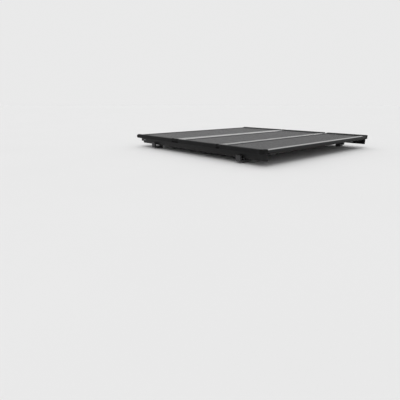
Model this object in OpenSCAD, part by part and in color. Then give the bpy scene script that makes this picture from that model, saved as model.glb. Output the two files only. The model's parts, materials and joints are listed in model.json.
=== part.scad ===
// Hard tri-fold tonneau cover for a mid-size pickup's short bed.
// Three sandwich panels in extruded frames, two double-pivot hinges, two clamp-on side rails.
// X is to the truck's right, Y forward to the cab, Z up. The lowest clamp face is at Z = 0.

/* [Cover] */
// Width over the two side trims
cover_w = 1520; // [1420:10:1640]
// Length from the tailgate edge to the bulkhead edge
cover_l = 1490; // [1470:10:1560]
// Tailgate edge to the middle of the rear hinge
rear_panel_l = 405; // [400:5:415]
// Bulkhead edge to the middle of the front hinge
front_panel_l = 588; // [575:1:600]
// Thickness of a sandwich panel
board_t = 13; // [11:1:14]
// Thickness of its skins
skin_t = 1; // [0.8:0.1:1.5]

/* [Side rails] */
// Height of the face that sits on the bed rail
seat_z = 80; // [80:1:84]
// Wall of the rail extrusion
rail_t = 3; // [2.5:0.5:3]
// Height of the rubber seals under the panels
seal_h = 6; // [5:0.5:7]

/* [Hinges] */
// Distance between the two pins of the front hinge
front_link_w = 74; // [74:1:78]
// Distance between the two pins of the rear hinge
rear_link_w = 24; // [24:1:26]
// Radius of the hinge pins
pin_r = 2.5; // [2:0.1:2.6]
// Number of knuckles along a hinge, an odd number
knuckles = 15; // [9:2:21]

/* [Latches and clamps] */
// Radius of a latch shaft
shaft_r = 4; // [3.5:0.1:4.2]
// Radius of a clamp bolt
bolt_r = 4; // [3.5:0.1:4.2]
// Depth of bed flange that a clamp takes
clamp_gap = 24; // [20:1:26]
// Length of a prop rod from its pivot to its tip
prop_l = 320; // [310:1:325]
// Angle at which the prop rods hold the cover
prop_angle = 75; // [70:1:75]

/* [Hidden] */
$fn = 48;

// Levels, from the bed rail up
wall = 3;                                // wall of the panel frame extrusions
lip = 2;                                 // lower lip under a board
strip_rise = 4;                          // edge strips above the board's skin
trim_rise = 10;                          // side trims above the board's skin
rail_top = seat_z + rail_t;
panel_z = rail_top + seal_h;             // underside of every panel frame
board_z = panel_z + lip;
board_top = board_z + board_t;
strip_z = board_top + strip_rise;
trim_z = board_top + trim_rise;
skirt_z = seat_z + 4;                    // lower edge of the side skirts
pin_drop = 5;                            // pin axis below the strips
pin_z = strip_z - pin_drop;
barrel_r = 4.9;
bore_r = pin_r + 0.1;
leaf_gap = 5.4;                          // pin axis to the face of a leaf or link plate
leaf_w = 18;                             // pin axis to the inner edge of a leaf's strip

// Places along X, on the right-hand side
half_w = cover_w / 2;
board_x = half_w - 28;
trim_x = half_w - 50;                    // inner edge of the side trims
hinge_x = trim_x - 0.5;                  // half length of the hinges and edge rails
rail_in = half_w - 72;                   // inner edge of the rail's gutter
web_x = half_w - 48;                     // inner face of the rail's web
channel_in = web_x - 10;                 // inner edge of the rail's lower channel
rail_out = half_w - 8;
seal_x = half_w - 27;                    // half length of the link seals
cap_w = 50;                              // width of the side trims and of the caps between them

// Places along Y
y_rear = -cover_l / 2;
y_front = cover_l / 2;
rear_hinge_y = y_rear + rear_panel_l;
front_hinge_y = y_front - front_panel_l;
rear_pin_b = rear_hinge_y - rear_link_w / 2;     // pin at the rear panel
rear_pin_a = rear_hinge_y + rear_link_w / 2;     // pin at the middle panel
front_pin_b = front_hinge_y - front_link_w / 2;  // pin at the middle panel
front_pin_a = front_hinge_y + front_link_w / 2;  // pin at the front panel
bulkhead_pin = y_front - 9;
bar_y = y_front - 45;                    // rear edge of the bulkhead bar
rear_strip_w = 40;                       // width of the strip along the tailgate edge
cap_l = 32;                              // length of a rear corner cap

// Latches
shaft_z = panel_z - 7;
rear_latch_y = y_rear + 55;
middle_latch_y = rear_pin_a + 40;
striker_drop = 12;                       // striker pin below the latch shaft
striker_r = 3;
hook_x = rail_in - 16;                   // inner face of a hook
hook_t = 6;
shaft_half = rail_in - 6;
lever_x = 560;
bearing_x = [230, 640];
spring_x = 616;

// Prop rods: pivot, and the seat that the tip reaches when the front panel is up
prop_x = 640;
prop_r = 4.5;
prop_z = panel_z - 9;
prop_y = bulkhead_pin - 196;
tip_r = 4;
seat_floor = 62;
pivot_dy = prop_y - bulkhead_pin;
pivot_dz = prop_z - pin_z;
raised_y = bulkhead_pin + pivot_dy * cos(prop_angle) + pivot_dz * sin(prop_angle);
raised_z = pin_z - pivot_dy * sin(prop_angle) + pivot_dz * cos(prop_angle);
tip_z = seat_floor + tip_r + 0.4;
prop_seat_y = raised_y - sqrt(pow(prop_l, 2) - pow(raised_z - tip_z, 2));

// Clamps
clamp_y = [-520, 500];
clamp_w = 44;
bolt_x = half_w - 82;
guide_x = half_w - 108;
ledge_z = 36;                            // underside of the rail's hook channel
plate_z = 50;                            // underside of the clamp bracket's top plate
plate_t = 10;
jaw_z = 12;
jaw_t = 8;
pad_z = seat_z - clamp_gap;              // top of a jaw's pad
pad_t = 6;
head_h = 6;
washer_t = 1.6;

// Drain spouts
drain_y = 600;
drain_x = rail_in + 9;
drain_r = 4;
spout_r = 6;

// Corner brackets and their screws
screw_r = 3;
bracket_in = half_w - 108;
bar_screws = [half_w - 90, half_w - 65];
bracket_rows = [bar_y - 36, bar_y - 14];
bracket_screw_z = seat_z - 18;

// ---- helpers ----

// A profile drawn in (Y, Z), extruded along X and centred
module along_x(length) {
  rotate([90, 0, 90]) linear_extrude(length, center = true) children();
}

// A profile drawn in (X, Z), extruded along Y from y0 to y1
module along_y(y0, y1) {
  translate([0, (y0 + y1) / 2, 0]) rotate([90, 0, 0]) linear_extrude(y1 - y0, center = true) children();
}

module block(low, high) {
  translate(low) cube(high - low);
}

module rod_x(x0, x1, r) {
  translate([x0, 0, 0]) rotate([0, 90, 0]) cylinder(r = r, h = x1 - x0);
}

module both_sides() {
  children();
  mirror([1, 0, 0]) children();
}

module side(left) {
  mirror([left ? 1 : 0, 0, 0]) children();
}

module ring_sector(r0, r1, a0, a1, steps = 12) {
  angles = [for (i = [0:steps]) a0 + (a1 - a0) * i / steps];
  outer = [for (a = angles) [r1 * cos(a), r1 * sin(a)]];
  inner = [for (i = [steps:-1:0]) [r0 * cos(angles[i]), r0 * sin(angles[i])]];
  polygon(concat(outer, inner));
}

// ---- hinges ----

// Middle of each knuckle: the leaf holds the even ones, the link or bar the odd ones
segment = 2 * hinge_x / knuckles;
function knuckle_x(first) = [for (i = [first:2:knuckles - 1]) -hinge_x + segment * (i + 0.5)];

// Barrel and bridge of a knuckle, its plate on the +Y side of the pin
module knuckle_profile(reach) {
  difference() {
    union() {
      translate([0, pin_z]) circle(barrel_r);
      translate([0, board_top]) square([reach, strip_rise]);
    }
    translate([0, pin_z]) circle(bore_r);
  }
}

module knuckle_row(first, reach) {
  for (x = knuckle_x(first))
    translate([x, 0, 0]) along_x(segment - 0.6) knuckle_profile(reach);
}

// Frame extrusion along a hinged edge, with the panel on the +Y side of the pin
module hinged_rail() {
  along_x(2 * hinge_x) polygon([
    [leaf_gap, panel_z], [leaf_gap + 20, panel_z], [leaf_gap + 20, board_z],
    [leaf_gap + wall, board_z], [leaf_gap + wall, board_top], [leaf_w, board_top],
    [leaf_w, strip_z], [leaf_gap, strip_z]
  ]);
  knuckle_row(0, leaf_gap + 1);
}

// Link between two pins, the first at Y = 0 and the second at Y = w
module hinge_link(w, leg) {
  along_x(2 * hinge_x) polygon([
    [leaf_gap, board_top], [leg, board_top], [leg, panel_z + wall], [leg + 2, panel_z + wall],
    [leg + 2, board_top], [w - leg - 2, board_top], [w - leg - 2, panel_z + wall],
    [w - leg, panel_z + wall], [w - leg, board_top], [w - leaf_gap, board_top],
    [w - leaf_gap, strip_z], [leaf_gap, strip_z]
  ]);
  knuckle_row(1, leaf_gap + 1);
  translate([0, w, 0]) mirror([0, 1, 0]) knuckle_row(1, leaf_gap + 1);
}

module hinge_pins(w) {
  for (y = [0, w]) translate([0, y, pin_z]) rod_x(-hinge_x, hinge_x, pin_r);
}

// Rubber sheet that closes the gap under a link, and lies over the rail seals
module link_seal(w) {
  block([-seal_x, -4.6, panel_z + 0.75], [seal_x, w + 4.6, panel_z + wall]);
}

// Filler of the gap between two side trims, rounded at the pins so that the trims swing clear
module end_cap_profile(w) {
  translate([-4.6, panel_z + wall]) square([w + 9.2, pin_z - panel_z - wall]);
  translate([0, board_top - 1]) square([w, strip_rise + 1]);
  for (y = [0, w]) translate([y, pin_z]) circle(barrel_r);
}

module link_end_caps(w) {
  rise_at = 13;                          // clear of the corner that a side trim swings round
  both_sides() {
    translate([trim_x + cap_w / 2, 0, 0]) along_x(cap_w - 1) end_cap_profile(w);
    if (w > 2 * rise_at + 10) intersection() {
      along_y(rise_at, w - rise_at) trim_end_profile();
      block([trim_x + 0.5, 0, board_top - 1], [half_w - 0.5, w, trim_z + 1]);
    }
  }
}

// ---- panels ----

// Sandwich layer between two levels; the rear panel's is notched for its corner caps
module board_layer(y0, y1, z0, z1, notch) {
  n = notch ? cap_l - wall : 0;
  translate([0, 0, z0]) linear_extrude(z1 - z0) polygon([
    [-trim_x, y0], [trim_x, y0], [trim_x, y0 + n], [board_x, y0 + n], [board_x, y1],
    [-board_x, y1], [-board_x, y0 + n], [-trim_x, y0 + n]
  ]);
}

module skins(y0, y1, notch = false) {
  color("#2b2c2e") {
    board_layer(y0, y1, board_z, board_z + skin_t, notch);
    board_layer(y0, y1, board_top - skin_t, board_top, notch);
  }
}

module core(y0, y1, notch = false) {
  color("#8a8a86") board_layer(y0, y1, board_z + skin_t, board_top - skin_t, notch);
}

// Open-bottomed hollow profile that wraps the board's side and hides the rail
module trim_profile() {
  o = half_w;
  polygon(concat(
    [[trim_x, board_top], [trim_x, board_top + wall], [o - 34, strip_z + 0.5], [o - 26, trim_z - 0.5],
     [o - 24, trim_z]],
    [for (a = [90:-15:0]) [o - 8 + 8 * cos(a), trim_z - 8 + 8 * sin(a)]],
    [[o, skirt_z], [o - wall, skirt_z]],
    [for (a = [0:15:90]) [o - 8 + 5 * cos(a), trim_z - 8 + 5 * sin(a)]],
    [[o - 23, trim_z - wall], [o - 25, trim_z - wall - 1.5], [o - 25, panel_z], [trim_x, panel_z],
     [trim_x, board_z], [board_x, board_z], [board_x, board_top]]
  ));
}

// The same outline filled in, for the closed ends
module trim_end_profile() {
  o = half_w;
  polygon(concat(
    [[trim_x, panel_z], [trim_x, board_top + wall], [o - 34, strip_z + 0.5], [o - 26, trim_z - 0.5],
     [o - 24, trim_z]],
    [for (a = [90:-15:0]) [o - 8 + 8 * cos(a), trim_z - 8 + 8 * sin(a)]],
    [[o, skirt_z], [o - wall, skirt_z], [o - wall, panel_z]]
  ));
}

module side_trims(y0, y1, rear_closed = true) {
  color("#17181a") both_sides() {
    along_y(y0 + (rear_closed ? wall : 0), y1 - wall) trim_profile();
    if (rear_closed) along_y(y0, y0 + wall) trim_end_profile();
    along_y(y1 - wall, y1) trim_end_profile();
  }
}

// ---- front panel ----

module front_panel_skins() { skins(front_pin_a + leaf_gap + wall, bulkhead_pin - leaf_gap - wall); }
module front_panel_core() { core(front_pin_a + leaf_gap + wall, bulkhead_pin - leaf_gap - wall); }
module front_panel_side_trims() { side_trims(front_pin_a + leaf_gap, bulkhead_pin - leaf_gap); }

module front_panel_rear_rail() {
  color("#0f1011") translate([0, front_pin_a, 0]) hinged_rail();
}

module front_panel_front_rail() {
  color("#0f1011") translate([0, bulkhead_pin, 0]) mirror([0, 1, 0]) hinged_rail();
}

// Clevis under the front panel, with its pin
module prop_rod_brackets() {
  color("#3a3b3d") both_sides() translate([prop_x, prop_y, 0]) {
    difference() {
      union() {
        block([-15, -15, board_z - 3], [15, 15, board_z]);
        for (x = [-9, 6]) block([x, -8, prop_z - 8], [x + 3, 8, board_z - 3]);
      }
      translate([0, 0, prop_z]) rod_x(-10, 10, pin_r);
    }
    translate([0, 0, prop_z]) {
      rod_x(-10, 10, pin_r);
      for (x = [-11.5, 10]) rod_x(x, x + 1.5, pin_r + 1.5);
    }
  }
}

// Open clip that holds a stowed prop rod
module prop_rod_clips() {
  color("#1d1e20") both_sides() translate([prop_x, prop_y - prop_l + 42, 0]) {
    block([-10, -8, board_z - 3], [10, 8, board_z]);
    for (x = [-7, 5.4]) block([x, -8, prop_z - 5], [x + 1.6, 8, board_z - 3]);
  }
}

// ---- middle panel ----

module middle_panel_skins() { skins(rear_pin_a + leaf_gap + wall, front_pin_b - leaf_gap - wall); }
module middle_panel_core() { core(rear_pin_a + leaf_gap + wall, front_pin_b - leaf_gap - wall); }
module middle_panel_side_trims() { side_trims(rear_pin_a + leaf_gap, front_pin_b - leaf_gap); }

module middle_panel_rear_rail() {
  color("#0f1011") translate([0, rear_pin_a, 0]) hinged_rail();
}

module middle_panel_front_rail() {
  color("#0f1011") translate([0, front_pin_b, 0]) mirror([0, 1, 0]) hinged_rail();
}

// ---- rear panel ----

module rear_panel_skins() { skins(y_rear + wall, rear_pin_b - leaf_gap - wall, true); }
module rear_panel_core() { core(y_rear + wall, rear_pin_b - leaf_gap - wall, true); }
module rear_panel_side_trims() { side_trims(y_rear + cap_l, rear_pin_b - leaf_gap, false); }

module rear_panel_front_rail() {
  color("#0f1011") translate([0, rear_pin_b, 0]) mirror([0, 1, 0]) hinged_rail();
}

// Extrusion along the tailgate edge, with a flat strip on top and a rounded nose
module rear_edge_rail() {
  nose = 3;
  color("#0f1011") translate([0, y_rear, 0]) along_x(2 * hinge_x) polygon(concat(
    [[0, panel_z], [24, panel_z], [24, board_z], [wall, board_z], [wall, board_top],
     [rear_strip_w, board_top], [rear_strip_w, strip_z]],
    [for (a = [90:15:180]) [nose + nose * cos(a), strip_z - nose + nose * sin(a)]]
  ));
}

// Moulded cap over each tailgate corner of the rear panel
module rear_corner_caps() {
  r = 20;
  color("#0c0c0d") both_sides() difference() {
    translate([0, 0, skirt_z]) linear_extrude(trim_z - skirt_z) intersection() {
      translate([trim_x, y_rear]) square([cap_w, cap_l]);
      union() {
        translate([trim_x, y_rear]) square([cap_w - r, cap_l]);
        translate([trim_x, y_rear + r]) square([cap_w, cap_l]);
        translate([half_w - r, y_rear + r]) circle(r);
      }
    }
    // room for the frame and the rail seal below
    block([trim_x - 1, y_rear + wall, skirt_z - 1], [half_w - wall - r / 2, y_rear + cap_l + 1, panel_z]);
  }
}

module tailgate_seal() {
  bulb_r = 7;
  color("#141414") translate([0, y_rear + 11, 0]) along_x(2 * (rail_in - 2)) difference() {
    intersection() {
      translate([0, panel_z - 4.5]) circle(bulb_r);
      translate([-bulb_r, panel_z - 12]) square([2 * bulb_r, 12]);
    }
    translate([0, panel_z - 5]) circle(bulb_r - 3);
  }
}

// ---- latches ----

module latch_shaft(y) {
  color("#8c8f92") translate([0, y, shaft_z]) rod_x(-shaft_half, shaft_half, shaft_r);
}

module latch_bearings(y) {
  color("#1d1e20") both_sides() for (x = bearing_x) translate([x, y, 0]) difference() {
    block([-7, -9, shaft_z - 7], [7, 9, board_z]);
    translate([0, 0, shaft_z]) rod_x(-8, 8, shaft_r + 0.1);
  }
}

// Torsion spring beside the outer bearings: close-wound, with a leg that pushes on the panel
module latch_springs(y) {
  wire = 1.1;
  coil_r = shaft_r + 0.3 + wire;
  color("#b5b7ba") both_sides() translate([spring_x, y, shaft_z]) {
    rotate([0, 90, 0]) rotate_extrude() for (i = [0:5]) translate([coil_r, i * 1.9]) circle(wire);
    translate([9.5, coil_r + 0.2, 0]) cylinder(r = 0.8, h = board_z - shaft_z);
  }
}

// Claw that passes under the striker pin, below the shaft
module latch_hooks(y) {
  color("#55585b") both_sides() translate([hook_x + hook_t / 2, y, shaft_z]) along_x(hook_t) difference() {
    union() {
      circle(6.5);
      ring_sector(5, 21, -148, -118);
      ring_sector(15.8, 21, -122, -68);
    }
    circle(shaft_r);
  }
}

// Paddle that hangs from the shaft, and is pulled towards the tailgate
module latch_levers(y) {
  color("#3a3b3d") both_sides() translate([lever_x, y, shaft_z]) along_x(40) difference() {
    union() {
      circle(6.5);
      polygon([[-2.5, -5.5], [1.5, -21], [3.5, -22], [5.5, -21], [3.5, -5]]);
    }
    circle(shaft_r);
  }
}

// ---- side rails, all shown for the right side ----

module rail_profile() {
  polygon([
    [rail_in, seat_z], [web_x, seat_z], [web_x, ledge_z + rail_t],
    [channel_in + 2, ledge_z + rail_t], [channel_in + 2, ledge_z + 10],
    [channel_in, ledge_z + 10], [channel_in, ledge_z], [web_x + rail_t, ledge_z], [web_x + rail_t, seat_z], [rail_out, seat_z], [rail_out, rail_top],
    [rail_in + 2, rail_top], [rail_in + 2, rail_top + 4], [rail_in, rail_top + 4]
  ]);
}

module bed_rail() {
  color("#1b1c1e") difference() {
    along_y(y_rear + 3, bar_y - 1) rail_profile();
    translate([drain_x, drain_y, seat_z - 1]) cylinder(r = drain_r, h = rail_t + 2);
    block([channel_in - 1, drain_y - 18, ledge_z - 1], [web_x, drain_y + 18, ledge_z + 11]);
    for (y = bracket_rows) translate([web_x - 1, y, bracket_screw_z]) rod_x(0, rail_t + 2, screw_r + 0.2);
  }
}

module rail_seal() {
  crown = 8;
  x = half_w - 37;
  z = panel_z - 0.1 - crown;
  color("#141414") along_y(y_rear + 5, bar_y - 1) difference() {
    intersection() {
      translate([x, z]) circle(crown);
      translate([x - crown, rail_top]) square([2 * crown, crown]);
    }
    intersection() {
      translate([x, z]) circle(crown - 1.6);
      translate([x - crown, rail_top + 1.5]) square([2 * crown, crown]);
    }
  }
}

module bulkhead_bar() {
  color("#1b1c1e") difference() {
    union() {
      along_x(2 * rail_out) polygon([
        [bar_y, seat_z], [y_front, seat_z], [y_front, strip_z], [bulkhead_pin + leaf_gap, strip_z],
        [bulkhead_pin + leaf_gap, rail_top], [bar_y, rail_top]
      ]);
      translate([0, bulkhead_pin, 0]) knuckle_row(1, leaf_gap + 1);
      both_sides() translate([trim_x + cap_w / 2, bulkhead_pin, 0]) along_x(cap_w - 1) {
        translate([-4.6, skirt_z]) square([leaf_gap + 4.6, pin_z - skirt_z]);
        translate([0, board_top - 1]) square([leaf_gap + 1, strip_rise + 1]);
        translate([0, pin_z]) circle(barrel_r);
      }
    }
    both_sides() for (x = bar_screws)
      translate([x, bar_y + 22, seat_z - 1]) cylinder(r = screw_r + 0.2, h = rail_t + 2);
  }
}

module bulkhead_hinge_pin() {
  color("#8c8f92") translate([0, bulkhead_pin, pin_z]) rod_x(-hinge_x, hinge_x, pin_r);
}

module bulkhead_seal() {
  crown = 8;
  color("#141414") translate([0, bar_y + 20, 0]) along_x(2 * (half_w - 124)) difference() {
    intersection() {
      translate([0, seat_z]) circle(crown);
      translate([-crown, seat_z - crown]) square([2 * crown, crown]);
    }
    intersection() {
      translate([0, seat_z]) circle(crown - 1.6);
      translate([-crown, seat_z - crown - 1.5]) square([2 * crown, crown]);
    }
  }
}

// Angle bracket that joins a side rail to the bulkhead bar
module corner_brackets() {
  color("#2a2b2d") both_sides() difference() {
    union() {
      block([bracket_in, bar_y + 2, seat_z - 3], [web_x, bar_y + 39, seat_z]);
      block([web_x - 4, bar_y - 50, seat_z - 30], [web_x, bar_y + 39, seat_z]);
    }
    for (x = bar_screws) translate([x, bar_y + 22, seat_z - 4]) cylinder(r = screw_r + 0.2, h = 5);
    for (y = bracket_rows) translate([web_x - 5, y, bracket_screw_z]) rod_x(0, 6, screw_r + 0.2);
  }
}

module button_screw(length) {
  cylinder(r = screw_r, h = length);
  translate([0, 0, length]) difference() {
    cylinder(r1 = 5.5, r2 = 3.5, h = 3);
    translate([0, 0, 1.5]) cylinder(r = 2, h = 2, $fn = 6);
  }
}

module bracket_screws() {
  color("#b5b7ba") both_sides() {
    for (x = bar_screws) translate([x, bar_y + 22, seat_z - 6]) button_screw(rail_t + 6);
    for (y = bracket_rows)
      translate([web_x + rail_t, y, bracket_screw_z]) rotate([0, -90, 0]) button_screw(rail_t + 4);
  }
}

// Pins on the rails that the latch claws hold
module strikers() {
  color("#55585b") both_sides() for (y = [rear_latch_y, middle_latch_y]) translate([0, y, 0]) {
    z = shaft_z - striker_drop;
    block([web_x - 4, -14, z - 14], [web_x, 14, seat_z - 1]);
    translate([0, 0, z]) {
      rod_x(hook_x - 8, web_x - 4, striker_r);
      rod_x(hook_x - 10, hook_x - 8, striker_r + 2);
    }
  }
}

// Barbed outlet of the rail's gutter, for a drain hose
module drain_spouts() {
  color("#1d1e20") both_sides() translate([drain_x, drain_y, 0]) difference() {
    translate([0, 0, seat_z - 22]) cylinder(r = spout_r, h = 22);
    translate([0, 0, seat_z - 23]) cylinder(r = drain_r, h = 24);
  }
}

// Cradle on the rail for the tip of a raised prop rod
module prop_seats() {
  color("#3a3b3d") both_sides() translate([0, prop_seat_y, 0]) {
    block([prop_x + 12, -16, seat_floor - 4], [web_x, 16, seat_floor]);
    for (y = [-16, 12]) block([prop_x + 12, y, seat_floor], [prop_x + 40, y + 4, seat_floor + 9]);
    block([web_x - 4, -16, ledge_z + 12], [web_x, 16, seat_floor - 4]);
  }
}

// ---- prop rods ----

module prop_rod() {
  color("#8c8f92") translate([prop_x, prop_y, prop_z]) {
    difference() {
      union() {
        rod_x(-5.5, 5.5, 7);
        rotate([90, 0, 0]) cylinder(r = prop_r, h = prop_l);
      }
      rod_x(-6, 6, pin_r + 0.1);
    }
    translate([0, -prop_l, 0]) {
      sphere(r = 6);
      rod_x(0, 28, tip_r);
    }
  }
}

// ---- clamps ----

// Fixed part: its tongue hangs in the rail's channel, and its guide reaches down inside
module clamp_bracket() {
  difference() {
    union() {
      block([guide_x, -clamp_w / 2, 0], [guide_x + 6, clamp_w / 2, plate_z + plate_t]);
      block([guide_x, -clamp_w / 2, plate_z], [web_x - 1, clamp_w / 2, plate_z + plate_t]);
      block([channel_in + 3, -clamp_w / 2, ledge_z + rail_t + 0.1], [web_x - 1, clamp_w / 2, plate_z]);
      translate([bolt_x, 0, plate_z - 6]) cylinder(r = 9, h = 7);
    }
    translate([bolt_x, 0, plate_z - 7]) cylinder(r = bolt_r + 0.1, h = plate_t + 8);
  }
}

module clamp_brackets() {
  color("#2a2b2d") both_sides() for (y = clamp_y) translate([0, y, 0]) clamp_bracket();
}

// Moving part: a ribbed foot under the rail, with a padded arm outside its web
module clamp_jaw() {
  arm_in = web_x + 14;
  arm_out = half_w - 18;
  difference() {
    union() {
      color("#2a2b2d") block([guide_x + 8, -20, jaw_z], [arm_out, 20, jaw_z + jaw_t]);
      color("#2a2b2d") for (y = [-20, 16]) block([guide_x + 8, y, 2], [arm_out - 30, y + 4, jaw_z]);
      color("#2a2b2d") block([arm_in, -20, jaw_z], [arm_out, 20, pad_z - pad_t]);
      color("#141414") block([arm_in - 2, -20, pad_z - pad_t], [arm_out + 2, 20, pad_z]);
    }
    translate([bolt_x, 0, jaw_z - 1]) cylinder(r = bolt_r + 0.4, h = jaw_t + 2);
  }
}

// Hex bolt and washer that pull the jaw up
module clamp_bolt() {
  color("#b5b7ba") translate([bolt_x, 0, 0]) {
    translate([0, 0, jaw_z - washer_t]) cylinder(r = bolt_r, h = plate_z + plate_t + 10 - jaw_z + washer_t);
    translate([0, 0, jaw_z - washer_t]) cylinder(r = 8, h = washer_t);
    translate([0, 0, jaw_z - washer_t - head_h]) cylinder(r = 7.5, h = head_h, $fn = 6);
  }
}

// ---- what is drawn ----

side(true) bed_rail();  // left_rail
side(false) bed_rail();  // right_rail
side(true) rail_seal();  // left_rail_seal
side(false) rail_seal();  // right_rail_seal
bulkhead_bar();
bulkhead_seal();
bulkhead_hinge_pin();
corner_brackets();
bracket_screws();
strikers();
drain_spouts();
prop_seats();
clamp_brackets();
front_panel_skins();
front_panel_core();
front_panel_side_trims();
front_panel_front_rail();
front_panel_rear_rail();
prop_rod_brackets();
prop_rod_clips();
color("#0f1011") translate([0, front_pin_b, 0]) hinge_link(front_link_w, 12);  // front_link
color("#8c8f92") translate([0, front_pin_b, 0]) hinge_pins(front_link_w);  // front_link_pins
color("#141414") translate([0, front_pin_b, 0]) link_seal(front_link_w);  // front_link_seal
color("#0c0c0d") translate([0, front_pin_b, 0]) link_end_caps(front_link_w);  // front_link_end_caps
middle_panel_skins();
middle_panel_core();
middle_panel_side_trims();
middle_panel_front_rail();
middle_panel_rear_rail();
latch_bearings(middle_latch_y);  // middle_latch_bearings
latch_springs(middle_latch_y);  // middle_latch_springs
color("#0f1011") translate([0, rear_pin_b, 0]) hinge_link(rear_link_w, 7);  // rear_link
color("#8c8f92") translate([0, rear_pin_b, 0]) hinge_pins(rear_link_w);  // rear_link_pins
color("#141414") translate([0, rear_pin_b, 0]) link_seal(rear_link_w);  // rear_link_seal
color("#0c0c0d") translate([0, rear_pin_b, 0]) link_end_caps(rear_link_w);  // rear_link_end_caps
rear_panel_skins();
rear_panel_core();
rear_panel_side_trims();
rear_panel_front_rail();
rear_edge_rail();
rear_corner_caps();
tailgate_seal();
latch_bearings(rear_latch_y);  // rear_latch_bearings
latch_springs(rear_latch_y);  // rear_latch_springs
latch_shaft(middle_latch_y);  // middle_latch_shaft
latch_hooks(middle_latch_y);  // middle_latch_hooks
latch_levers(middle_latch_y);  // middle_latch_levers
latch_shaft(rear_latch_y);  // rear_latch_shaft
latch_hooks(rear_latch_y);  // rear_latch_hooks
latch_levers(rear_latch_y);  // rear_latch_levers
side(true) prop_rod();  // left_prop_rod
side(false) prop_rod();  // right_prop_rod
side(true) translate([0, clamp_y[1], 0]) clamp_jaw();  // left_front_jaw
side(false) translate([0, clamp_y[1], 0]) clamp_jaw();  // right_front_jaw
side(true) translate([0, clamp_y[0], 0]) clamp_jaw();  // left_rear_jaw
side(false) translate([0, clamp_y[0], 0]) clamp_jaw();  // right_rear_jaw
side(true) translate([0, clamp_y[1], 0]) clamp_bolt();  // left_front_bolt
side(false) translate([0, clamp_y[1], 0]) clamp_bolt();  // right_front_bolt
side(true) translate([0, clamp_y[0], 0]) clamp_bolt();  // left_rear_bolt
side(false) translate([0, clamp_y[0], 0]) clamp_bolt();  // right_rear_bolt
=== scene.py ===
"""Looks for a hard tri-fold tonneau cover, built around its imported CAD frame."""
import json
import math

import bmesh
import bpy
from mathutils import Matrix, Vector


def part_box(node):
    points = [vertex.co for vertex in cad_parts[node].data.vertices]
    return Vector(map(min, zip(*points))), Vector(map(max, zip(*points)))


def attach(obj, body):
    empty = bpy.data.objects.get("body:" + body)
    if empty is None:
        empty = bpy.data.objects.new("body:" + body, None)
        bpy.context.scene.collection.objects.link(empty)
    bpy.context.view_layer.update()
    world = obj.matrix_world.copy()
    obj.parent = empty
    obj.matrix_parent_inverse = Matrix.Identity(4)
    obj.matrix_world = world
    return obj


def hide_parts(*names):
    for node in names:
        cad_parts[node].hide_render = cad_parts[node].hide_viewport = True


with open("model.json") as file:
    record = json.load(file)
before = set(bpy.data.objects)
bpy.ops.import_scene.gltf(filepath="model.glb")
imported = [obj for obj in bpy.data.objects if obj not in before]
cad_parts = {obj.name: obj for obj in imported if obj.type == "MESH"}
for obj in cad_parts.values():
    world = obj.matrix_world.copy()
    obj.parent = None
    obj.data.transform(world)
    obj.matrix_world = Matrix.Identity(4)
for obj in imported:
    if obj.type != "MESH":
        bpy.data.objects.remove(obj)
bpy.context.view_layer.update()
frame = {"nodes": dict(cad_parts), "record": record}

MM = 0.001
SHARP = math.radians(32)    # faces that meet at more than this make an edge: sharp, or rounded by ease()

# places across the cover, in metres from its middle, the same on both sides
BEARINGS_X = (0.230, 0.640)
PADDLE_X = 0.560
SPRING_X = 0.6162
PROP_X = 0.640
SPOUT_X = 0.697
SKIN_EDGE_X = 0.7096

PROP_Z = 0.080
PROP_BASE = 3 * MM                  # thickness of the base plates of the prop brackets and clips
STRIP_SEEN = (20.0 - 12.6) * MM     # how much of a hinged rail its skin leaves uncovered
RIVET_INSET = 6.5 * MM


# ---- places read from the frame ----

def low(node):
    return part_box(node)[0]


def high(node):
    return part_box(node)[1]


def middle(node):
    a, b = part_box(node)
    return (a + b) / 2


# ---- node materials ----

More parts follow.
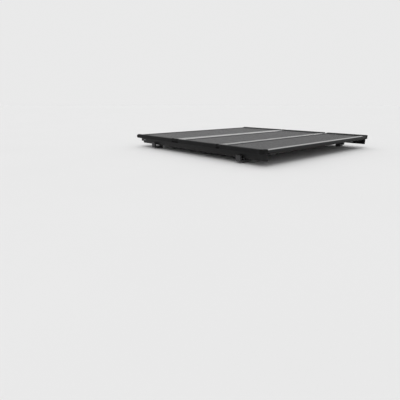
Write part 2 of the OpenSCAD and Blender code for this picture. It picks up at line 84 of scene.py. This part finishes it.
class Mat:
    """A node material with short calls for the nodes that it uses."""

    def __init__(self, name):
        self.m = bpy.data.materials.new(name)
        self.m.use_nodes = True
        self.t = self.m.node_tree
        self.t.nodes.clear()
        self.out = self.t.nodes.new("ShaderNodeOutputMaterial")
        self.bsdf = self.t.nodes.new("ShaderNodeBsdfPrincipled")
        self.t.links.new(self.bsdf.outputs[0], self.out.inputs[0])
        self.coord = self.t.nodes.new("ShaderNodeTexCoord").outputs["Object"]

    def link(self, a, b):
        if hasattr(a, "is_output"):
            self.t.links.new(a, b)
        else:
            b.default_value = a

    def scaled(self, x, y, z):
        n = self.t.nodes.new("ShaderNodeMapping")
        self.link(self.coord, n.inputs["Vector"])
        n.inputs["Scale"].default_value = (x, y, z)
        return n.outputs[0]

    def noise(self, scale, detail=3, rough=0.5, vector=None):
        n = self.t.nodes.new("ShaderNodeTexNoise")
        self.link(vector or self.coord, n.inputs["Vector"])
        n.inputs["Scale"].default_value = scale
        n.inputs["Detail"].default_value = detail
        n.inputs["Roughness"].default_value = rough
        return n.outputs["Fac"]

    def cells(self, scale, feature="F1", vector=None, output="Distance"):
        n = self.t.nodes.new("ShaderNodeTexVoronoi")
        n.feature = feature
        self.link(vector or self.coord, n.inputs["Vector"])
        n.inputs["Scale"].default_value = scale
        return n.outputs[output]

    def warped(self, amount, scale):
        """The object coordinate, pushed about by a noise."""
        n = self.t.nodes.new("ShaderNodeTexNoise")
        self.link(self.coord, n.inputs["Vector"])
        n.inputs["Scale"].default_value = scale
        v = self.t.nodes.new("ShaderNodeVectorMath")
        v.operation = "MULTIPLY_ADD"
        self.link(n.outputs["Color"], v.inputs[0])
        v.inputs[1].default_value = (amount,) * 3
        self.link(self.coord, v.inputs[2])
        return v.outputs[0]

    def remap(self, value, a, b, to_a, to_b):
        n = self.t.nodes.new("ShaderNodeMapRange")
        n.interpolation_type = "SMOOTHSTEP"
        self.link(value, n.inputs["Value"])
        for key, v in zip(("From Min", "From Max", "To Min", "To Max"), (a, b, to_a, to_b)):
            n.inputs[key].default_value = v
        return n.outputs[0]

    def math(self, op, a, b):
        n = self.t.nodes.new("ShaderNodeMath")
        n.operation = op
        self.link(a, n.inputs[0])
        self.link(b, n.inputs[1])
        return n.outputs[0]

    def worn_edges(self, scale, low, high):
        """1 on eased edges, which face between two axes, broken up by a noise; 0 on the flat faces."""
        split = self.t.nodes.new("ShaderNodeSeparateXYZ")
        self.link(self.t.nodes.new("ShaderNodeTexCoord").outputs["Normal"], split.inputs[0])
        x, y, z = (self.math("MULTIPLY", c, c) for c in split.outputs)
        sides = self.math("MULTIPLY", x, y)
        tops = self.math("MULTIPLY", z, self.math("ADD", x, y))
        between = self.math("ADD", sides, tops)
        edge = self.remap(between, 0.17, 0.245, 0.0, 1.0)
        return self.math("MULTIPLY", edge, self.remap(self.noise(scale, 5, 0.7), low, high, 0.0, 1.0))

    def mix(self, fac, a, b):
        n = self.t.nodes.new("ShaderNodeMix")
        n.data_type = "RGBA"
        self.link(fac, n.inputs["Factor"])
        for sock, v in ((n.inputs["A"], a), (n.inputs["B"], b)):
            self.link((*v, 1) if isinstance(v, tuple) else v, sock)
        return n.outputs["Result"]

    def bump(self, height, distance, strength=1.0, under=None):
        n = self.t.nodes.new("ShaderNodeBump")
        n.inputs["Strength"].default_value = strength
        n.inputs["Distance"].default_value = distance
        self.link(height, n.inputs["Height"])
        if under is not None:
            self.link(under, n.inputs["Normal"])
        return n.outputs[0]

    def finish(self, colour, rough, metal=0.0, normal=None, spec=0.5):
        for key, v in (("Base Color", colour), ("Roughness", rough), ("Metallic", metal),
                       ("Specular IOR Level", spec)):
            self.link((*v, 1) if isinstance(v, tuple) else v, self.bsdf.inputs[key])
        if normal is not None:
            self.link(normal, self.bsdf.inputs["Normal"])
        return self.m


def panel_skin():
    """Matt black coat over a fine leather grain, with painted shade: darker colour in the grain's grooves,
    lighter on its raised tops.
    """
    m = Mat("panel_skin")
    warped = m.warped(0.0016, 160)
    pebble_and_groove_shade = m.remap(m.cells(430, "DISTANCE_TO_EDGE", warped), 0.0, 0.26, 0.0, 1.0)
    fine = m.cells(1250, "F1", warped)
    patch = m.noise(14, 4, 0.6)
    swirl = m.noise(85, 3, 0.6)
    # painted shade: the colour is darker in the grooves of the grain, where the bump is low
    colour = m.mix(m.math("MULTIPLY", pebble_and_groove_shade, m.remap(patch, 0.3, 0.7, 0.8, 1.0)),
                   (0.012, 0.012, 0.013), (0.034, 0.034, 0.036))
    rough = m.math("ADD", m.remap(swirl, 0.3, 0.7, 0.43, 0.50), m.math("MULTIPLY", fine, 0.08))
    n = m.bump(m.math("ADD", pebble_and_groove_shade, m.math("MULTIPLY", fine, -0.5)), 0.00042, 0.8)
    return m.finish(colour, rough, normal=n, spec=0.38)


def gloss_strip():
    """Smooth gloss black on the faces that look up, satin on the others, with faint drawing lines along X."""
    m = Mat("gloss_strip")
    lines = m.noise(1.0, 2, 0.5, m.scaled(3, 1600, 1600))
    cloud = m.noise(9, 3, 0.55)
    facing = m.t.nodes.new("ShaderNodeSeparateXYZ")
    m.link(m.t.nodes.new("ShaderNodeTexCoord").outputs["Normal"], facing.inputs[0])
    up = m.remap(facing.outputs[2], 0.75, 0.97, 0.0, 1.0)
    colour = m.mix(cloud, (0.008, 0.008, 0.009), (0.013, 0.013, 0.014))
    gloss = m.math("ADD", m.remap(cloud, 0.35, 0.7, 0.09, 0.15), m.math("MULTIPLY", lines, 0.04))
    rough = m.math("ADD", m.math("MULTIPLY", up, gloss),
                   m.math("MULTIPLY", m.math("SUBTRACT", 1.0, up), 0.5))
    n = m.bump(lines, 0.000012, 0.5)
    return m.finish(colour, rough, normal=n, spec=m.remap(up, 0, 1, 0.15, 0.8))


def coated(name, base, rough, along, spec=0.4):
    """Satin powder coat on an extrusion: orange peel, die lines along one axis, and thin dust."""
    m = Mat(name)
    stretch = [700.0, 700.0, 700.0]
    stretch[along] = 2.5
    lines = m.noise(1.0, 2, 0.5, m.scaled(*stretch))
    peel = m.noise(950, 2, 0.5)
    dust = m.remap(m.noise(22, 5, 0.65), 0.45, 0.8, 0.0, 1.0)
    dark = tuple(c * 0.75 for c in base)
    pale = tuple(c * 1.5 + 0.004 for c in base)
    worn = m.worn_edges(70, 0.42, 0.72)
    coat = m.mix(dust, m.mix(lines, dark, base), pale)
    colour = m.mix(m.math("MULTIPLY", worn, 0.5), coat, (0.055, 0.055, 0.057))
    r = m.math("ADD", m.remap(peel, 0.3, 0.7, rough - 0.04, rough + 0.04), m.math("MULTIPLY", dust, 0.08))
    r = m.math("SUBTRACT", r, m.math("MULTIPLY", worn, 0.12))
    n = m.bump(peel, 0.00003, 0.6, under=m.bump(lines, 0.00003, 0.5))
    return m.finish(colour, r, normal=n, spec=spec)


def moulded(name, base, rough, spec=0.4):
    """Moulded plastic with a fine spark-eroded texture and faint flow marks."""
    m = Mat(name)
    pits = m.cells(1500, "F1", m.warped(0.0004, 700))
    flow = m.noise(35, 4, 0.6, m.scaled(1, 1, 3))
    colour = m.mix(m.math("MULTIPLY", flow, 0.8), tuple(c * 0.7 for c in base), tuple(c * 1.35 for c in base))
    r = m.math("ADD", m.remap(flow, 0.3, 0.7, rough - 0.05, rough + 0.05), m.math("MULTIPLY", pits, 0.06))
    return m.finish(colour, r, normal=m.bump(pits, 0.00007, 0.7), spec=spec)


def rubber():
    """Matt rubber with a grey bloom and fine pores."""
    m = Mat("seal_rubber")
    pores = m.cells(1900)
    bloom = m.remap(m.noise(30, 5, 0.7), 0.45, 0.85, 0.0, 1.0)
    colour = m.mix(bloom, (0.011, 0.011, 0.011), (0.036, 0.035, 0.034))
    rough = m.remap(bloom, 0.0, 1.0, 0.72, 0.9)
    return m.finish(colour, rough, normal=m.bump(pores, 0.00006, 0.8), spec=0.3)


def drawn_steel(name, along):
    """Bright bar with drawing lines along one axis and thin tarnish."""
    m = Mat(name)
    stretch = [2200.0, 2200.0, 2200.0]
    stretch[along] = 6.0
    lines = m.noise(1.0, 3, 0.6, m.scaled(*stretch))
    tarnish = m.remap(m.noise(45, 5, 0.7), 0.4, 0.8, 0.0, 1.0)
    colour = m.mix(tarnish, (0.56, 0.56, 0.57), (0.34, 0.32, 0.30))
    rough = m.math("ADD", m.remap(tarnish, 0, 1, 0.24, 0.42), m.math("MULTIPLY", lines, 0.12))
    return m.finish(colour, rough, 1.0, m.bump(lines, 0.00002, 0.6))


def zinc():
    """Zinc plate with a mottled bluish cast."""
    m = Mat("zinc_steel")
    spangle = m.cells(420, "F1", m.warped(0.001, 200), "Color")
    grey = m.t.nodes.new("ShaderNodeRGBToBW")
    m.link(spangle, grey.inputs[0])
    stain = m.remap(m.noise(120, 4, 0.6), 0.5, 0.8, 0.0, 1.0)
    base = m.mix(grey.outputs[0], (0.50, 0.52, 0.56), (0.68, 0.69, 0.70))
    colour = m.mix(stain, base, (0.42, 0.38, 0.30))
    rough = m.math("ADD", m.remap(stain, 0, 1, 0.28, 0.5), m.math("MULTIPLY", grey.outputs[0], 0.1))
    return m.finish(colour, rough, 1.0, m.bump(m.noise(2200, 2), 0.00002, 0.6))


def cast_alloy():
    """Black coat on a sand-grained casting, rubbed to metal in places."""
    m = Mat("clamp_alloy")
    sand = m.noise(900, 3, 0.65)
    rub = m.math("MAXIMUM", m.remap(m.noise(60, 6, 0.75), 0.68, 0.76, 0.0, 1.0), m.worn_edges(110, 0.45, 0.6))
    colour = m.mix(rub, m.mix(sand, (0.018, 0.018, 0.019), (0.036, 0.036, 0.038)), (0.30, 0.30, 0.31))
    rough = m.math("ADD", m.remap(rub, 0, 1, 0.52, 0.38), m.math("MULTIPLY", sand, 0.1))
    return m.finish(colour, rough, m.math("MULTIPLY", rub, 0.9), m.bump(sand, 0.00016, 0.7), 0.45)


def foam():
    """Pale foam with open pores, with painted shade: darker colour in the pore hollows."""
    m = Mat("panel_core")
    pores = m.cells(700)
    # painted shade: the colour is darker in the pore hollows, where the bump is low
    colour = m.mix(pores, (0.62, 0.55, 0.38), (0.80, 0.74, 0.58))
    return m.finish(colour, 0.9, normal=m.bump(pores, 0.0003, 0.8), spec=0.2)


MATERIALS = {
    "panel_skin": panel_skin(),
    "gloss_strip": gloss_strip(),
    "trim_black": coated("trim_black", (0.007, 0.007, 0.0075), 0.55, 1, 0.12),
    "rail_black": coated("rail_black", (0.008, 0.008, 0.0085), 0.42, 1, 0.22),
    "black_steel": coated("black_steel", (0.016, 0.016, 0.017), 0.42, 2),
    "moulded_black": moulded("moulded_black", (0.006, 0.006, 0.006), 0.60, 0.11),
    "black_nylon": moulded("black_nylon", (0.016, 0.016, 0.017), 0.42),
    "lever_grey": moulded("lever_grey", (0.045, 0.045, 0.048), 0.40, 0.45),
    "seal_rubber": rubber(),
    "plain_steel": drawn_steel("plain_steel", 0),
    "zinc_steel": zinc(),
    "clamp_alloy": cast_alloy(),
    "panel_core": foam(),
}
ROD_STEEL = drawn_steel("rod_steel", 1)

# width of the eased edges by material, in mm, and the number of segments
EDGES = {
    "panel_skin": (0.25, 1), "gloss_strip": (0.5, 2), "trim_black": (0.6, 2), "rail_black": (0.4, 2),
    "black_steel": (0.6, 2), "moulded_black": (1.2, 3), "black_nylon": (0.8, 2), "lever_grey": (0.8, 2),
    "clamp_alloy": (1.0, 2), "plain_steel": (0.4, 2), "zinc_steel": (0.3, 2),
}


# ---- modifiers on the CAD nodes ----

def smooth_by_angle():
    """A node group that shades smooth, with a sharp edge wherever two faces meet at over SHARP."""
    g = bpy.data.node_groups.new("smooth_by_angle", "GeometryNodeTree")
    g.interface.new_socket("Geometry", in_out="INPUT", socket_type="NodeSocketGeometry")
    g.interface.new_socket("Geometry", in_out="OUTPUT", socket_type="NodeSocketGeometry")
    start = g.nodes.new("NodeGroupInput")
    end = g.nodes.new("NodeGroupOutput")
    faces = g.nodes.new("GeometryNodeSetShadeSmooth")
    faces.domain = "FACE"
    edges = g.nodes.new("GeometryNodeSetShadeSmooth")
    edges.domain = "EDGE"
    angle = g.nodes.new("GeometryNodeInputMeshEdgeAngle")
    compare = g.nodes.new("FunctionNodeCompare")
    compare.operation = "LESS_THAN"
    compare.inputs[1].default_value = SHARP
    g.links.new(start.outputs[0], faces.inputs[0])
    g.links.new(faces.outputs[0], edges.inputs[0])
    g.links.new(angle.outputs["Unsigned Angle"], compare.inputs[0])
    g.links.new(compare.outputs[0], edges.inputs["Shade Smooth"])
    g.links.new(edges.outputs[0], end.inputs[0])
    return g


SMOOTH = smooth_by_angle()


def ease(obj, width, segments=2):
    """Welds the mesh, joins its coplanar triangles, and rounds its sharp edges by width in mm."""
    if "custom_normal" in obj.data.attributes:
        obj.data.attributes.remove(obj.data.attributes["custom_normal"])
    weld = obj.modifiers.new("weld", "WELD")
    weld.merge_threshold = 1e-5
    flat = obj.modifiers.new("planar", "DECIMATE")
    flat.decimate_type = "DISSOLVE"
    flat.angle_limit = math.radians(0.5)
    shade = obj.modifiers.new("shade", "NODES")
    shade.node_group = SMOOTH
    if width:
        bevel = obj.modifiers.new("ease", "BEVEL")
        bevel.width = width * MM
        bevel.segments = segments
        bevel.limit_method = "ANGLE"
        bevel.angle_limit = SHARP
        bevel.harden_normals = True
        bevel.use_clamp_overlap = True


slot_of = {s["node"]: s["material_slot"] for s in frame["record"]["subparts"]}
for name, obj in frame["nodes"].items():
    slot = slot_of[name]
    obj.data.materials.clear()
    obj.data.materials.append(ROD_STEEL if name.endswith("prop_rod") else MATERIALS[slot])
    if name == "rear_corner_caps":    # rounder than the other mouldings
        ease(obj, 4.0, 5)
    else:
        width, segments = EDGES.get(slot, (0, 1))
        ease(obj, width, segments)


# ---- mesh building ----

def new_piece(name, bm, slot, body):
    """Turns bm into a piece of that material that rides on a body."""
    mesh = bpy.data.meshes.new(name)
    bmesh.ops.recalc_face_normals(bm, faces=bm.faces)
    bm.to_mesh(mesh)
    bm.free()
    obj = bpy.data.objects.new(name, mesh)
    bpy.context.scene.collection.objects.link(obj)
    mesh.materials.append(MATERIALS[slot])
    ease(obj, 0)
    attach(obj, body)
    return obj


def circle(steps):
    """The cosine and sine of equal steps round one turn."""
    return [(math.cos(2 * math.pi * i / steps), math.sin(2 * math.pi * i / steps)) for i in range(steps)]


def join_rings(bm, a, b):
    """Faces between two rings that have as many points."""
    for i in range(len(a)):
        j = (i + 1) % len(a)
        bm.faces.new((a[i], a[j], b[j], b[i]))


def add_lathe(bm, profile, place, steps=24, sleeve=False):
    """Turns (radius, height) pairs about Z, then moves them by the matrix place.

    A sleeve joins its last pair to its first."""
    rings = []
    for r, z in profile:
        if r < 1e-9:
            rings.append([bm.verts.new(place @ Vector((0, 0, z)))])
        else:
            rings.append([bm.verts.new(place @ Vector((r * c, r * s, z))) for c, s in circle(steps)])
    for a, b in zip(rings, rings[1:] + rings[:1] if sleeve else rings[1:]):
        for i in range(steps):
            j = (i + 1) % steps
            corners = [a[i % len(a)], a[j % len(a)], b[j % len(b)], b[i % len(b)]]
            corners = list(dict.fromkeys(corners))
            if len(corners) > 2:
                bm.faces.new(corners)


def add_tube(bm, points, radius, steps=10, closed=False):
    """A round tube along points, with flat ends."""
    rings = []
    normal = None
    count = len(points)
    for k, p in enumerate(points):
        before = points[k - 1] if k or closed else p
        after = points[(k + 1) % count] if k + 1 < count or closed else p
        ahead = (after - before).normalized()
        if normal is None:
            normal = ahead.orthogonal().normalized()
        normal = (normal - ahead * normal.dot(ahead)).normalized()
        side = ahead.cross(normal)
        rings.append([bm.verts.new(p + radius * (normal * c + side * s)) for c, s in circle(steps)])
    for a, b in zip(rings, rings[1:] + rings[:1] if closed else rings[1:]):
        join_rings(bm, a, b)
    if not closed:
        bm.faces.new(rings[0])
        bm.faces.new(rings[-1])


def at(x, y, z, towards=(0, 0, 1)):
    """A matrix that puts local Z along towards at that place, in metres."""
    turn = Vector((0, 0, 1)).rotation_difference(Vector(towards)).to_matrix().to_4x4()
    return Matrix.Translation((x, y, z)) @ turn


def dome(r, h):
    """Profile of a domed head."""
    return [(0, h)] + [(r * math.sin(a), h * math.cos(a)) for a in
                       [math.radians(d) for d in (20, 40, 60, 78, 90)]] + [(r, -0.0002), (0, -0.0002)]


# ---- fixings seen from below ----

def rivet_rows():
    """A row of rivets under each hinged edge extrusion."""
    rows = {
        "front_panel": ("front_panel_front_rail", "front_panel_rear_rail"),
        "middle_panel": ("middle_panel_front_rail", "middle_panel_rear_rail"),
        "rear_panel": ("rear_panel_front_rail",),
    }
    for body, rails in rows.items():
        bm = bmesh.new()
        for rail in rails:
            a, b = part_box(rail)
            inner = a.y + RIVET_INSET if rail.endswith("front_rail") else b.y - RIVET_INSET
            for i in range(13):
                add_lathe(bm, dome(3.2 * MM, 1.5 * MM), at(-0.66 + 0.11 * i, inner, a.z, (0, 0, -1)), 16)
        new_piece(body + "_rivets", bm, "zinc_steel", body)


def pan_screws(name, body, places, r):
    """Pan-head screws of radius r in mm, heads down."""
    bm = bmesh.new()
    profile = [(0, 0.5 * MM), (0.45 * r * MM, 0.5 * MM), (0.5 * r * MM, 1.2 * MM), (0.8 * r * MM, 1.2 * MM),
               (r * MM, 0.7 * MM), (r * MM, -0.2 * MM), (0, -0.2 * MM)]
    for x, y, z in places:
        add_lathe(bm, profile, at(x, y, z, (0, 0, -1)), 18)
    new_piece(name, bm, "zinc_steel", body)


def hardware_screws():
    """The screws of the latch bearings, prop brackets and prop clips."""
    for latch in ("middle", "rear"):
        a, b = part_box(latch + "_latch_bearings")
        y = (a.y + b.y) / 2
        places = [(s * x, y + d, a.z) for s in (-1, 1) for x in BEARINGS_X for d in (-6 * MM, 6 * MM)]
        pan_screws(latch + "_bearing_screws", latch + "_panel", places, 2.0)
    a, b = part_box("prop_rod_brackets")
    mid = (a.y + b.y) / 2
    under = b.z - PROP_BASE
    places = [(s * PROP_X + dx, mid + dy, under) for s in (-1, 1) for dx in (-0.012, 0.012)
              for dy in (-0.011, 0.011)]
    a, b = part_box("prop_rod_clips")
    mid = (a.y + b.y) / 2
    under = b.z - PROP_BASE
    places += [(s * PROP_X, mid + dy, under) for s in (-1, 1) for dy in (-0.005, 0.005)]
    pan_screws("prop_hardware_screws", "front_panel", places, 2.2)


# ---- springs, bolts, spouts, grips ----

def latch_spring(latch):
    """Torsion springs: close turns round the shaft, one leg up to the panel and one to the shaft."""
    node = latch + "_latch_springs"
    a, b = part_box(node)
    shaft = middle(latch + "_latch_shaft")
    coil_r, wire = 5.4 * MM, 0.85 * MM
    bm = bmesh.new()
    for s in (-1, 1):
        turns, pitch = 5.25, 1.8 * MM
        points = []
        for k in range(int(turns * 20) + 1):
            t = k / 20
            angle = 2 * math.pi * t
            points.append(Vector((s * (SPRING_X + pitch * t), shaft.y + coil_r * math.sin(angle),
                                  shaft.z - coil_r * math.cos(angle))))
        inner = Vector((s * (SPRING_X - 0.2 * MM), shaft.y - 2.2 * MM, shaft.z - 4.6 * MM))
        end = points[-1]
        points = [inner] + points + [Vector((end.x, end.y, b.z - 0.3 * MM))]
        add_tube(bm, points, wire, 8)
    spring = new_piece(latch + "_torsion_springs", bm, "zinc_steel", latch + "_panel")
    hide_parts(node)


def clamp_bolt(corner):
    """Hex bolt with a rolled thread and a washer."""
    node = corner + "_bolt"
    a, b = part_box(node)
    x, y = (a.x + b.x) / 2, (a.y + b.y) / 2
    head_top = a.z + 6 * MM
    washer_top = head_top + 1.6 * MM
    bm = bmesh.new()
    steps, rows, pitch = 24, 8, 1.25 * MM
    length = b.z - washer_top
    count = int(length / pitch * rows)
    rings = []
    for k in range(count + 1):
        z = length * k / count
        ring = []
        for i, (c, s) in enumerate(circle(steps)):
            phase = (z / pitch - i / steps) % 1.0
            crest = 1 - abs(2 * phase - 1)
            ends = min(1.0, (length - z) / (1.5 * MM))
            r = (3.45 + 0.5 * crest * ends) * MM
            ring.append(bm.verts.new((x + r * c, y + r * s, washer_top + z)))
        rings.append(ring)
    for p, q in zip(rings, rings[1:]):
        join_rings(bm, p, q)
    bm.faces.new(rings[0])
    bm.faces.new(rings[-1])
    washer = [(0, 0), (7.8, 0), (8, 0.2), (8, 1.4), (7.8, 1.6), (0, 1.6)]
    add_lathe(bm, [(r * MM, z * MM) for r, z in washer], at(x, y, head_top), 32)
    corner_r = 7.5 * MM
    hexagons = [
        [bm.verts.new((x + corner_r * part * c, y + corner_r * part * s, z)) for c, s in circle(6)]
        for z, part in ((a.z, 0.88), (a.z + 0.7 * MM, 1.0), (head_top, 1.0))
    ]
    for p, q in zip(hexagons, hexagons[1:]):
        join_rings(bm, p, q)
    bm.faces.new(hexagons[0])
    bm.faces.new(hexagons[-1])
    bolt = new_piece(corner + "_threaded_bolt", bm, "zinc_steel", corner + "_screw")
    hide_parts(node)


def drain_barbs():
    """Three barbs on each drain spout."""
    a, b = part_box("drain_spouts")
    bm = bmesh.new()
    y = (a.y + b.y) / 2
    barb = [(r * MM, h * MM) for r, h in ((5.95, 0), (6.05, 0), (6.7, 3.2), (6.7, 3.6), (5.95, 3.6))]
    for s in (-1, 1):
        for k in range(3):
            z = a.z + (1.0 + 5.0 * k) * MM
            add_lathe(bm, barb, at(s * SPOUT_X, y, z), 28, sleeve=True)
    new_piece("drain_spout_barbs", bm, "black_nylon", "frame")


def prop_grip(side):
    """Ribbed foam grip on a prop rod."""
    s = -1 if side == "left" else 1
    start = low(side + "_prop_rod").y + 0.090
    inner_r, length, lip = 4.45 * MM, 0.094, 0.001
    ribs, steps = 14, 6
    profile = [(inner_r, 0)]
    for k in range(ribs * steps + 1):
        bulge = 0.5 - 0.5 * math.cos(2 * math.pi * k / steps)
        profile.append(((5.6 + 0.7 * bulge) * MM, lip + (length - 2 * lip) * k / (ribs * steps)))
    profile.append((inner_r, length))
    bm = bmesh.new()
    add_lathe(bm, profile, at(s * PROP_X, start, PROP_Z, (0, 1, 0)), 24, sleeve=True)
    new_piece(side + "_prop_grip", bm, "seal_rubber", side + "_prop")


def lever_ridges(latch):
    """Three finger ridges on the back of each paddle."""
    shaft = middle(latch + "_latch_shaft")
    bm = bmesh.new()
    for s in (-1, 1):
        for k in range(3):
            t = (k + 1.2) / 4    # how far down the sloping back of the paddle
            y = shaft.y + (-2.6 + 4.0 * t) * MM
            z = shaft.z - (5.5 + 15.5 * t) * MM
            points = [Vector((s * PADDLE_X + dx, y, z)) for dx in (-0.017, -0.0085, 0, 0.0085, 0.017)]
            add_tube(bm, points, 0.75 * MM, 10)
    new_piece(latch + "_paddle_ridges", bm, "lever_grey", latch + "_latch")


def skin_beads():
    """A thin bead of black sealant where each upper skin meets its frame."""
    for panel, rear_rail, inset in (
        ("front_panel", "front_panel_rear_rail", STRIP_SEEN),
        ("middle_panel", "middle_panel_rear_rail", STRIP_SEEN),
        ("rear_panel", "rear_edge_rail", 0),
    ):
        x, z = SKIN_EDGE_X, high(panel + "_skins").z
        y0 = high(rear_rail).y - inset
        y1 = low(panel + "_front_rail").y + STRIP_SEEN
        corners = [Vector((-x, y0, z)), Vector((x, y0, z)), Vector((x, y1, z)), Vector((-x, y1, z))]
        bm = bmesh.new()
        points = []
        for k in range(4):
            p, q = corners[k], corners[(k + 1) % 4]
            points += [p.lerp(q, t / 24) for t in range(24)]
        add_tube(bm, points, 0.9 * MM, 8, closed=True)
        new_piece(panel + "_bead", bm, "seal_rubber", panel)


rivet_rows()
hardware_screws()
for latch in ("middle", "rear"):
    latch_spring(latch)
    lever_ridges(latch)
for corner in ("left_front", "right_front", "left_rear", "right_rear"):
    clamp_bolt(corner)
for side in ("left", "right"):
    prop_grip(side)
drain_barbs()
skin_beads()


# ---- stage, light and camera ----

def pale_floor():
    """Plain pale matt floor, the same all over but for a faint mottle."""
    m = Mat("studio_pale")
    mottle = m.math("MULTIPLY", m.noise(1.3, 3, 0.5), 0.15)
    colour = m.mix(mottle, (0.80, 0.80, 0.80), (0.66, 0.66, 0.66))
    return m.finish(colour, 0.9, normal=m.bump(m.noise(240, 2), 0.0002, 0.2), spec=0.1)


def studio_floor():
    """A wide round floor whose far rim meets the bright world at the horizon."""
    bm = bmesh.new()
    below = -1 * MM
    radii = (1.0, 3.0, 8.0, 20.0, 60.0)
    rings = [[bm.verts.new((r * c, r * s, below)) for c, s in circle(64)] for r in radii]
    bm.faces.new(rings[0])
    for a, b in zip(rings, rings[1:]):
        join_rings(bm, b, a)
    mesh = bpy.data.meshes.new("studio_floor")
    bm.to_mesh(mesh)
    bm.free()
    obj = bpy.data.objects.new("studio_floor", mesh)
    bpy.context.scene.collection.objects.link(obj)
    mesh.materials.append(pale_floor())


def soft_sun(name, direction, angle, strength):
    """A sun of that width in degrees, so that its shadows are soft."""
    data = bpy.data.lights.new(name, "SUN")
    data.angle = math.radians(angle)
    data.energy = strength
    obj = bpy.data.objects.new(name, data)
    bpy.context.scene.collection.objects.link(obj)
    obj.rotation_euler = Vector(direction).to_track_quat("-Z", "Y").to_euler()


def studio_world():
    """Light that is bright at the horizon and dimmer overhead."""
    world = bpy.data.worlds.new("studio")
    bpy.context.scene.world = world
    world.use_nodes = True
    sky = world.node_tree
    split = sky.nodes.new("ShaderNodeSeparateXYZ")
    sky.links.new(sky.nodes.new("ShaderNodeTexCoord").outputs["Generated"], split.inputs[0])
    falloff = sky.nodes.new("ShaderNodeMapRange")
    falloff.interpolation_type = "SMOOTHSTEP"
    for key, v in (("From Min", 0.33), ("From Max", 0.85), ("To Min", 0.82), ("To Max", 0.36)):
        falloff.inputs[key].default_value = v
    sky.links.new(split.outputs[2], falloff.inputs["Value"])
    background = sky.nodes["Background"]
    background.inputs["Color"].default_value = (1.0, 1.0, 1.0, 1)
    sky.links.new(falloff.outputs[0], background.inputs["Strength"])


def photo_camera():
    """The photograph's place, direction and field of view."""
    camera_data = bpy.data.cameras.new("camera")
    camera_data.sensor_width = 36.0
    camera_data.lens = 30.2
    camera_data.clip_end = 60
    camera = bpy.data.objects.new("camera", camera_data)
    bpy.context.scene.collection.objects.link(camera)
    camera.location = (-2.436, -2.047, 0.3955)
    tilt_down, turn_right = 16.15, 41.5
    camera.rotation_euler = (math.radians(90 - tilt_down), 0, math.radians(-turn_right))
    bpy.context.scene.camera = camera
    bpy.context.scene.view_settings.view_transform = "Standard"


studio_floor()
soft_sun("key", (0.55, 0.25, -1.0), 40, 1.2)
soft_sun("back", (-0.35, -0.6, -1.0), 60, 0.7)
studio_world()
photo_camera()
